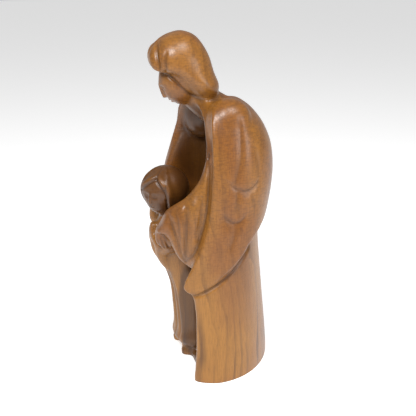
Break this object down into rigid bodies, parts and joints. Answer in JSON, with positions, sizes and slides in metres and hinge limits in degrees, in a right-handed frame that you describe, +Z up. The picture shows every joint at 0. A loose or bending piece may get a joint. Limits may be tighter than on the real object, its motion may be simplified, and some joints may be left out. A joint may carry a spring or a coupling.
{
  "type": "guardian angel statue",
  "caption": "Carved wooden guardian angel with bowed head and wrap-round wings, sheltering a praying child; stands on its flat foot.",
  "frame": {"origin": "on the table, in the middle of the carving's bounding box", "axes": "+Z up, -Y towards the child and the front of the angel, +X towards the angel's left"},
  "size_m": [0.0984, 0.0782, 0.2004],
  "materials": {
    "oiled_wood": "hand-carved hardwood, stained golden brown, oiled to a soft gloss"
  },
  "bodies": {
    "root": {"guardian_angel": "oiled_wood"}
  },
  "joints": []
}
